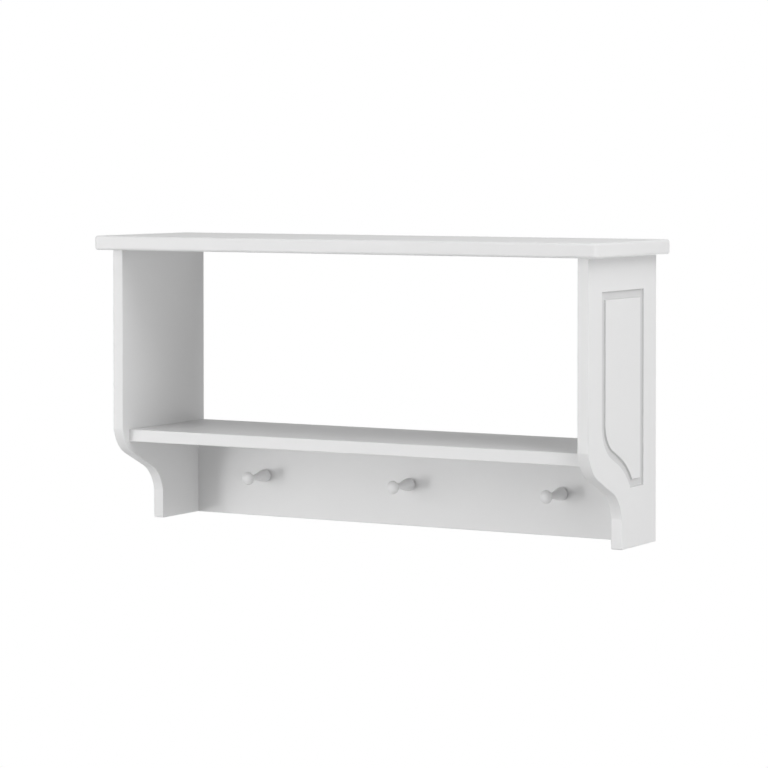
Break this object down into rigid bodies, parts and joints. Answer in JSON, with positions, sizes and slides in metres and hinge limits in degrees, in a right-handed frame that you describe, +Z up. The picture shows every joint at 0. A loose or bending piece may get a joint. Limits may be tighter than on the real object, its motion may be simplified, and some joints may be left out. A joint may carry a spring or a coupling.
{
  "type": "wall shelf",
  "caption": "Open wall shelf in white lacquered board: overhanging rounded top, ogee side panels with a routed groove, a lower shelf and a back rail with turned pegs for hanging things.",
  "frame": {"origin": "middle of the peg rail's back face, on the plane of the wall", "axes": "+Z up, +X to the right of someone facing the shelf, +Y into the wall, so the front faces -Y"},
  "size_m": [0.864, 0.25, 0.4506],
  "materials": {
    "white_lacquer": "satin white lacquer on smooth board",
    "peg_lacquer": "satin white lacquer on turned wood",
    "beech_dowel": "bare beech",
    "zinc_plate": "zinc-plated pressed steel",
    "zinc_screw": "zinc-plated steel"
  },
  "bodies": {
    "root": {"top_board": "white_lacquer", "shelf_board": "white_lacquer", "peg_rail": "white_lacquer", "left_side_panel": "white_lacquer", "right_side_panel": "white_lacquer", "left_peg": "peg_lacquer", "middle_peg": "peg_lacquer", "right_peg": "peg_lacquer", "left_top_dowel_1": "beech_dowel", "left_top_dowel_2": "beech_dowel", "left_top_dowel_3": "beech_dowel", "left_shelf_dowel_1": "beech_dowel", "left_shelf_dowel_2": "beech_dowel", "left_shelf_dowel_3": "beech_dowel", "left_rail_dowel_1": "beech_dowel", "left_rail_dowel_2": "beech_dowel", "right_top_dowel_1": "beech_dowel", "right_top_dowel_2": "beech_dowel", "right_top_dowel_3": "beech_dowel", "right_shelf_dowel_1": "beech_dowel", "right_shelf_dowel_2": "beech_dowel", "right_shelf_dowel_3": "beech_dowel", "right_rail_dowel_1": "beech_dowel", "right_rail_dowel_2": "beech_dowel", "shelf_rail_dowel_1": "beech_dowel", "shelf_rail_dowel_2": "beech_dowel", "shelf_rail_dowel_3": "beech_dowel", "left_hanger_plate": "zinc_plate", "left_hanger_upper_screw": "zinc_screw", "left_hanger_lower_screw": "zinc_screw", "right_hanger_plate": "zinc_plate", "right_hanger_upper_screw": "zinc_screw", "right_hanger_lower_screw": "zinc_screw"}
  },
  "joints": []
}
